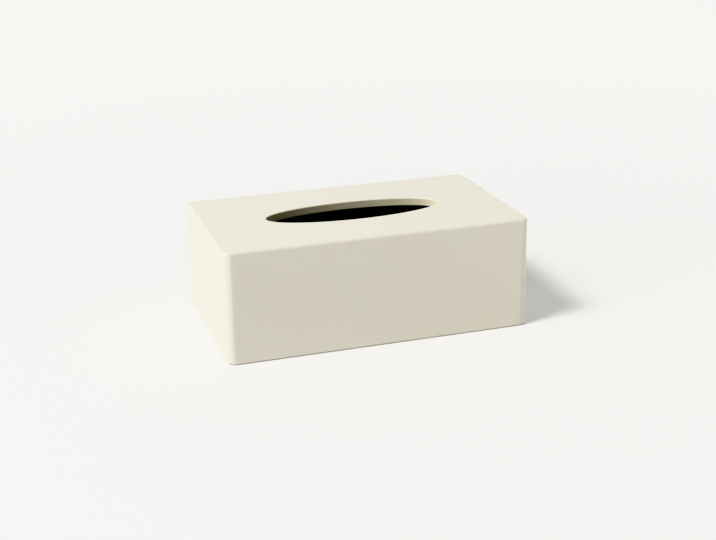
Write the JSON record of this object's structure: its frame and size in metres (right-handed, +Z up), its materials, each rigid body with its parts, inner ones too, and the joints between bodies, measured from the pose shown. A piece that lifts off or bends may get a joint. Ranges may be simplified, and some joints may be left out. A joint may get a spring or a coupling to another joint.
{
  "type": "tissue box cover",
  "caption": "Rectangular tissue box cover with rounded edges and an elliptical slot in the top; it lifts off a recessed base that closes with magnets.",
  "frame": {"origin": "middle of the box on the table, at the foot of the pads", "axes": "+X along the front towards the right end, +Y from the front to the back, +Z up"},
  "size_m": [0.26, 0.15, 0.095],
  "materials": {
    "cream_lacquer": "satin cream lacquer on fibreboard, black inside",
    "black_lacquer": "satin black lacquer on fibreboard",
    "bare_wood": "bare planed wood",
    "nickel_plate": "nickel plated",
    "zinc_plate": "zinc plated",
    "pad_rubber": "matte black"
  },
  "bodies": {
    "base": {"base_panel": "black_lacquer", "strike_front_left": "zinc_plate", "strike_front_right": "zinc_plate", "strike_back_left": "zinc_plate", "strike_back_right": "zinc_plate", "pad_front_left": "pad_rubber", "pad_front_right": "pad_rubber", "pad_back_left": "pad_rubber", "pad_back_right": "pad_rubber"},
    "cover": {"top_panel": "cream_lacquer", "front_panel": "cream_lacquer", "back_panel": "cream_lacquer", "left_end_panel": "cream_lacquer", "right_end_panel": "cream_lacquer", "corner_block_front_left": "bare_wood", "corner_block_front_right": "bare_wood", "corner_block_back_left": "bare_wood", "corner_block_back_right": "bare_wood", "magnet_front_left": "nickel_plate", "magnet_front_right": "nickel_plate", "magnet_back_left": "nickel_plate", "magnet_back_right": "nickel_plate"}
  },
  "joints": [
    {"name": "cover_lift", "type": "slide", "parent": "base", "child": "cover", "axis": [0, 0, 1], "range_m": [0, 0.12]}
  ]
}
